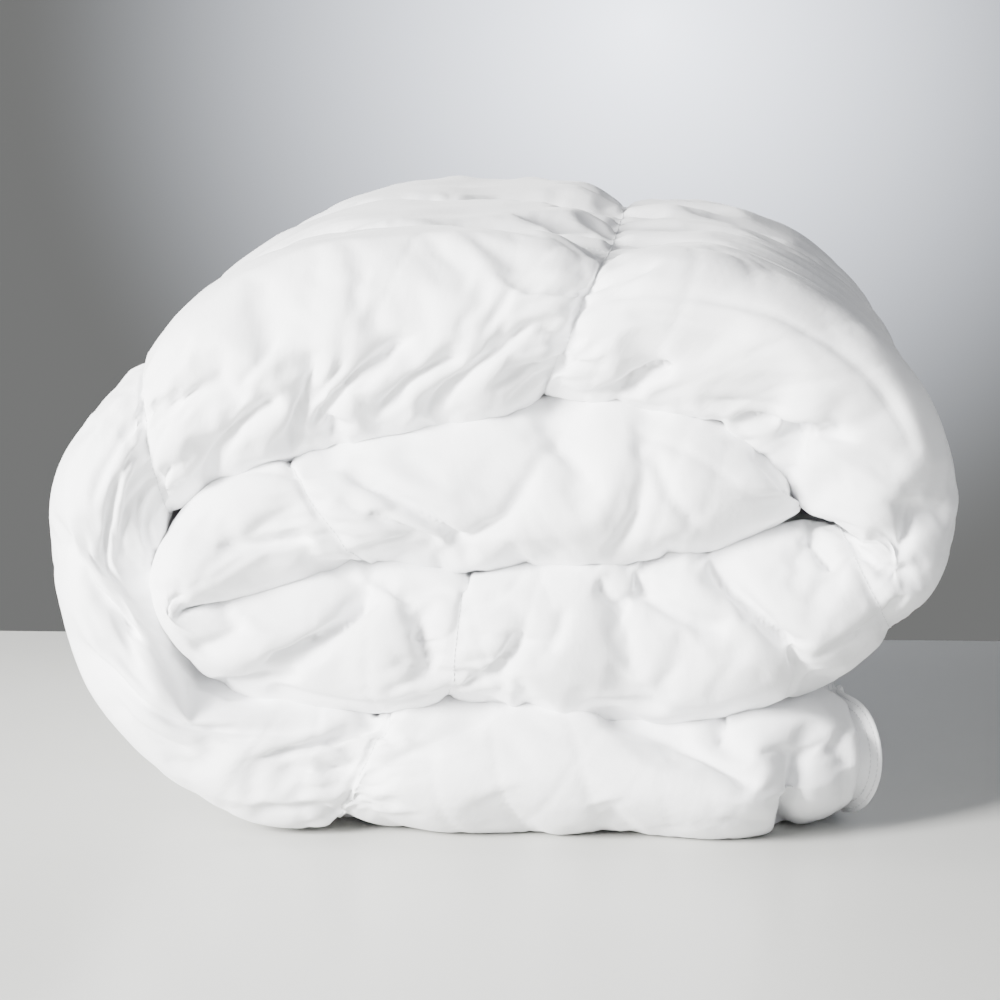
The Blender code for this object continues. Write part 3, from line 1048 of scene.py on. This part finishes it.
def sew(name, runs, material):
    bead, beadFaces = oneStitch()
    vertices, faces = [], []
    for path, facing in runs:
        travelled = travel(path)
        marks = np.arange(thread["pitch"], travelled[-1] - thread["pitch"], thread["pitch"])
        spots = np.stack([np.interp(marks, travelled, path[:, k]) for k in range(3)], 1)
        ahead = np.stack([np.interp(marks + 0.001, travelled, path[:, k]) for k in range(3)], 1)
        up = unit(np.stack([np.interp(marks, travelled, facing[:, k]) for k in range(3)], 1))
        way = unit(ahead - spots)
        aside = unit(np.cross(up, way))
        up = np.cross(way, aside)
        spots = spots + up * (thread["thick"] / 2 - thread["sunk"])
        for spot, a, b, c in zip(spots, aside, up, way):
            first = len(vertices) * len(bead)
            vertices.append(spot + bead[:, :1] * a + bead[:, 1:2] * b + bead[:, 2:] * c)
            faces += [tuple(k + first for k in face) for face in beadFaces]
    sewn = meshPiece(name, np.concatenate(vertices), faces, material)
    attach(sewn, "root")
    print(name, len(vertices), "stitches")


def seamRuns():
    # the lines of stitches along the box seams, where the face cloth shows
    points, facing, flat = places(cover), facings(cover), patternPlaces(cover)
    runs = []
    for number in range(1, pattern["rows"]):
        on = np.abs(flat[:, 0] - number * rowLength) < 1e-4
        runs.append(on & (flat[:, 1] > -0.06) & (flat[:, 1] < coverEnd - 0.01))
    for seam in (seamW, seamW + columnWidth):
        on = np.abs(flat[:, 1] - seam) < 1e-4
        runs.append(on & (flat[:, 0] > 0.02) & (flat[:, 0] < pattern["length"] - 0.02))
    found = []
    for on, axis in zip(runs, [1] * (pattern["rows"] - 1) + [0, 0]):
        picked = np.nonzero(on)[0]
        picked = picked[np.argsort(flat[picked, axis])]
        found.append((points[picked], facing[picked]))
    return found


threadLook = threadMaterial()
sew("hemStitches", stitchRuns, threadLook)
sew("seamStitches", seamRuns(), threadLook)

# A small blank care label, sewn into the outer side hem.
label = {"wide": 0.038, "reach": 0.020, "thick": 0.0006, "droop": 0.005, "steps": 10}


def careLabel():
    low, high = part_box("care_label")
    middleX, middleZ = (low.x + high.x) / 2, (low.z + high.z) / 2
    near = high.y - label["reach"] - 0.001
    bpy.ops.object.select_all(action="DESELECT")
    bpy.ops.mesh.primitive_grid_add(
        x_subdivisions=12, y_subdivisions=label["steps"], size=1, location=(middleX, near, middleZ)
    )
    tag = bpy.context.object
    tag.name = "careLabel"
    bpy.ops.object.mode_set(mode="EDIT")
    bpy.ops.transform.resize(value=(label["wide"], label["reach"], 1))
    bpy.ops.transform.translate(value=(0, label["reach"] / 2, 0))
    bpy.ops.object.mode_set(mode="OBJECT")
    bpy.ops.object.transform_apply(location=True, rotation=True, scale=True)
    curled = places(tag)
    share = (curled[:, 1] - near) / label["reach"]
    across = (curled[:, 0] - middleX) / label["wide"]
    curled[:, 2] -= label["droop"] * share**2 + 0.002 * share * np.sin(across * 5)
    setPlaces(tag, curled)
    wall = tag.modifiers.new("wall", "SOLIDIFY")
    wall.thickness = label["thick"]
    bpy.context.view_layer.objects.active = tag
    tag.select_set(True)
    bpy.ops.object.modifier_apply(modifier="wall")
    tag.data.shade_smooth()
    tag.data.materials.append(labelMaterial())
    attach(tag, "root")
    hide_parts("care_label")


def labelMaterial():
    # satin tape, ribbed across, with a faint sheen; its colour is darker in the grooves between the ribs,
    # a painted shade
    made, tree, shader = shaderOf("satinTape", 0.45)
    place = node(tree, "ShaderNodeTexCoord").outputs["Object"]
    ribs = node(tree, "ShaderNodeTexWave", Scale=420.0, Distortion=0.4, bands_direction="Y")
    tree.links.new(place, ribs.inputs["Vector"])
    # Painted shade: the tape is coloured darker in the grooves between its ribs, on the same pattern as
    # its bumps.
    shaded, lit = (0.84, 0.84, 0.835, 1), (0.91, 0.91, 0.905, 1)
    tinted(tree, ribs.outputs["Fac"], shaded, lit, shader.inputs["Base Color"])
    bumped(tree, shader, ribs.outputs["Fac"], 0.3)
    shader.inputs["Sheen Weight"].default_value = 0.35
    return made


careLabel()
print("label sewn in")

# Table, backdrop, light and camera.
studio = {
    "tableBack": backY + 0.06,
    "tableWide": 8.0,
    "tableDeep": 6.0,
    "wallAt": 6.0,
    "glowAt": (-0.03, 0.42),  # the lit patch of the backdrop, in X and Z
    "glowWide": 1.50,
    "glow": 4.4,
    "wallWide": 30,
    "wallHigh": 20,
    "roomLight": 0.54,
}


def tableMaterial():
    made, tree, shader = shaderOf("paleTable", 0.34)
    place = node(tree, "ShaderNodeTexCoord").outputs["Object"]
    mottle = node(tree, "ShaderNodeTexNoise", Scale=9.0, Detail=5.0)
    tree.links.new(place, mottle.inputs["Vector"])
    shaded, lit = (0.54, 0.542, 0.52, 1), (0.58, 0.582, 0.56, 1)
    tinted(tree, mottle.outputs["Fac"], shaded, lit, shader.inputs["Base Color"])
    return made


def backdropMaterial():
    # grey paper with a painted cool glow: it gives off light itself, brightest at the lit patch and dark
    # towards the edges, with no lamp on it
    made, tree, shader = shaderOf("greyPaperPaintedGlow", 0.9)
    link = tree.links.new
    place = node(tree, "ShaderNodeTexCoord").outputs["Object"]
    centred = node(tree, "ShaderNodeMapping", vector_type="TEXTURE")
    glowX, glowZ = studio["glowAt"]
    centred.inputs["Location"].default_value = (glowX, studio["wallAt"], glowZ)
    centred.inputs["Scale"].default_value = (studio["glowWide"],) * 3
    link(place, centred.inputs["Vector"])
    glow = node(tree, "ShaderNodeTexGradient", gradient_type="QUADRATIC_SPHERE")
    link(centred.outputs["Vector"], glow.inputs["Vector"])
    dim, lit = (0.0255, 0.026, 0.0252, 1), (0.84, 0.89, 1.0, 1)
    tinted(tree, glow.outputs["Fac"], dim, lit, shader.inputs["Emission Color"])
    shader.inputs["Emission Strength"].default_value = studio["glow"]
    shader.inputs["Base Color"].default_value = (0.05, 0.05, 0.05, 1)
    return made


bpy.ops.object.select_all(action="DESELECT")
tableMiddle = studio["tableBack"] - studio["tableDeep"] / 2
bpy.ops.mesh.primitive_plane_add(size=1, location=(0, tableMiddle, 0))
table = bpy.context.object
table.name = "tableTop"
table.scale = (studio["tableWide"], studio["tableDeep"], 1)
bpy.ops.object.transform_apply(location=True, rotation=True, scale=True)
table.data.materials.append(tableMaterial())
bpy.ops.mesh.primitive_plane_add(size=1, location=(0, studio["wallAt"], 0), rotation=(math.pi / 2, 0, 0))
wall = bpy.context.object
wall.name = "backdrop"
wall.scale = (studio["wallWide"], studio["wallHigh"], 1)
bpy.ops.object.transform_apply(location=True, rotation=True, scale=True)
wall.data.materials.append(backdropMaterial())

world = bpy.data.worlds.new("studio")
bpy.context.scene.world = world
world.use_nodes = True
world.node_tree.nodes["Background"].inputs["Color"].default_value = (0.93, 0.95, 1.0, 1)
world.node_tree.nodes["Background"].inputs["Strength"].default_value = studio["roomLight"]


lamps = {
    "keyLeft": {"at": (-2.6, -2.5, 1.35), "size": 1.3, "power": 790, "colour": (1.0, 0.995, 0.98)},
    "fillRight": {"at": (1.2, -3.6, 0.9), "size": 1.6, "power": 12, "colour": (0.97, 0.98, 1.0)},
}
lampTarget = Vector((0, 0, 0.2))


def softbox(name, lamp):
    light = bpy.data.lights.new(name, "AREA")
    light.shape = "RECTANGLE"
    light.size = light.size_y = lamp["size"]
    light.energy = lamp["power"]
    light.color = lamp["colour"]
    box = bpy.data.objects.new(name, light)
    bpy.context.scene.collection.objects.link(box)
    box.location = lamp["at"]
    box.rotation_euler = (lampTarget - Vector(lamp["at"])).to_track_quat("-Z", "Y").to_euler()


for name, lamp in lamps.items():
    softbox(name, lamp)

cameraData = bpy.data.cameras.new("camera")
cameraData.lens = view["lens"]
cameraData.sensor_width = 36
camera = bpy.data.objects.new("camera", cameraData)
bpy.context.scene.collection.objects.link(camera)
camera.location = eye
camera.rotation_euler = (-towardsEye).to_track_quat("-Z", "Y").to_euler()
bpy.context.scene.camera = camera
